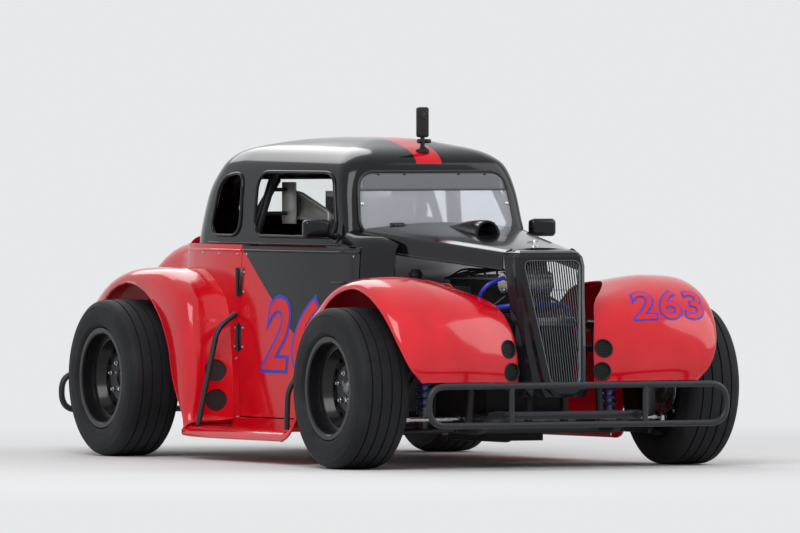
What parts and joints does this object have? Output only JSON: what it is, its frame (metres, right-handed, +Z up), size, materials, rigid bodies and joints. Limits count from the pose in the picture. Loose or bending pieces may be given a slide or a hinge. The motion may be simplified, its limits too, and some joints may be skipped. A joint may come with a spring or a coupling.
{
  "type": "legends race car",
  "caption": "Small enclosed race car with a rounded coupe body, open fenders, a tube frame, a bucket seat and tube bumpers; its wheels, steering, doors, hood and rear lid move.",
  "frame": {"origin": "middle of the bounding box's base, on the ground between the bumpers", "axes": "+X toward the car's left, -Y toward the nose, +Z up"},
  "size_m": [1.505, 3.199, 1.263],
  "materials": {
    "red_paint": "gloss red paint",
    "black_paint": "gloss black paint",
    "frame_black": "satin black paint",
    "tyre_rubber": "worn grooved tread",
    "rim_black": "gloss black",
    "bare_alloy": "brushed",
    "bare_steel": "bare",
    "clear_glass": "clear",
    "black_plastic": "matte",
    "blue_spring": "gloss blue"
  },
  "bodies": {
    "car": {"lower_arm_left": "frame_black", "upper_arm_left": "frame_black", "coilover_front_left": "blue_spring", "coilover_rear_left": "blue_spring", "trailing_arm_left": "bare_steel", "front_fender_left": "red_paint", "rear_fender_left": "red_paint", "side_bar_rear_left": "frame_black", "side_bar_front_left": "frame_black", "mirror_left": "black_paint", "lower_arm_right": "frame_black", "upper_arm_right": "frame_black", "coilover_front_right": "blue_spring", "coilover_rear_right": "blue_spring", "trailing_arm_right": "bare_steel", "front_fender_right": "red_paint", "rear_fender_right": "red_paint", "side_bar_rear_right": "frame_black", "side_bar_front_right": "frame_black", "mirror_right": "black_paint", "steering_rack": "bare_alloy", "rear_axle": "frame_black", "chassis_frame": "frame_black", "roll_cage": "frame_black", "lower_body": "red_paint", "cab_shell": "black_paint", "windshield": "clear_glass", "rear_window": "clear_glass", "grille_shell": "black_paint", "grille_bars": "bare_steel", "front_bumper": "frame_black", "rear_bumper": "frame_black", "floor_pan": "bare_alloy", "seat": "bare_alloy", "dash_panel": "black_plastic", "engine": "bare_alloy", "airbox": "black_plastic", "radiator": "black_plastic", "catch_can": "bare_alloy", "roof_camera": "black_plastic", "fuel_cell": "black_plastic"},
    "front_wheel_left": {"tyre_front_left": "tyre_rubber", "rim_front_left": "rim_black", "hub_front_left": "bare_steel"},
    "rear_wheel_left": {"tyre_rear_left": "tyre_rubber", "rim_rear_left": "rim_black"},
    "steering_knuckle_left": {"knuckle_left": "bare_alloy"},
    "side_door_left": {"door_left": "red_paint"},
    "front_wheel_right": {"tyre_front_right": "tyre_rubber", "rim_front_right": "rim_black", "hub_front_right": "bare_steel"},
    "rear_wheel_right": {"tyre_rear_right": "tyre_rubber", "rim_rear_right": "rim_black"},
    "steering_knuckle_right": {"knuckle_right": "bare_alloy"},
    "side_door_right": {"door_right": "red_paint"},
    "engine_hood": {"hood": "black_paint"},
    "rear_lid": {"deck_lid": "red_paint"},
    "hand_wheel": {"steering_wheel": "black_plastic"},
    "sliding_rack": {"rack_bar": "bare_steel"}
  },
  "joints": [
    {"name": "steer_left", "type": "hinge", "parent": "car", "child": "steering_knuckle_left", "pos_m": [0.525, -1.1135, 0.135], "axis": [0, 0, 1], "range_deg": [-20, 20]},
    {"name": "spin_front_left", "type": "hinge", "parent": "steering_knuckle_left", "child": "front_wheel_left", "pos_m": [0.65, -1.1135, 0.2825], "axis": [1, 0, 0], "continuous": true},
    {"name": "spin_rear_left", "type": "hinge", "parent": "car", "child": "rear_wheel_left", "pos_m": [0.65, 0.7405, 0.2825], "axis": [1, 0, 0], "continuous": true},
    {"name": "door_hinge_left", "type": "hinge", "parent": "car", "child": "side_door_left", "pos_m": [0.462, 0.1885, 0.46], "axis": [0, 0, 1], "range_deg": [0, 70]},
    {"name": "steer_right", "type": "hinge", "parent": "car", "child": "steering_knuckle_right", "pos_m": [-0.525, -1.1135, 0.135], "axis": [0, 0, 1], "range_deg": [-20, 20]},
    {"name": "spin_front_right", "type": "hinge", "parent": "steering_knuckle_right", "child": "front_wheel_right", "pos_m": [-0.65, -1.1135, 0.2825], "axis": [1, 0, 0], "continuous": true},
    {"name": "spin_rear_right", "type": "hinge", "parent": "car", "child": "rear_wheel_right", "pos_m": [-0.65, 0.7405, 0.2825], "axis": [1, 0, 0], "continuous": true},
    {"name": "door_hinge_right", "type": "hinge", "parent": "car", "child": "side_door_right", "pos_m": [-0.462, 0.1885, 0.46], "axis": [0, 0, -1], "range_deg": [0, 70]},
    {"name": "hood_hinge", "type": "hinge", "parent": "car", "child": "engine_hood", "pos_m": [0, -0.5315, 0.845], "axis": [-1, 0, 0], "range_deg": [0, 60]},
    {"name": "lid_hinge", "type": "hinge", "parent": "car", "child": "rear_lid", "pos_m": [0, 0.7715, 0.79], "axis": [1, 0, 0], "range_deg": [0, 60]},
    {"name": "rack_slide", "type": "slide", "parent": "car", "child": "sliding_rack", "axis": [1, 0, 0], "range_m": [-0.036, 0.036]},
    {"name": "hand_wheel_turn", "type": "hinge", "parent": "car", "child": "hand_wheel", "pos_m": [0.02, -0.3115, 0.725], "axis": [0, 0.9685, 0.249], "range_deg": [-90, 90]}
  ],
  "couplings": [
    {"joint": "steer_right", "follows": "steer_left", "ratio": 1},
    {"joint": "rack_slide", "follows": "steer_left", "m_per_rad": 0.10288},
    {"joint": "hand_wheel_turn", "follows": "steer_left", "ratio": 4.5}
  ]
}
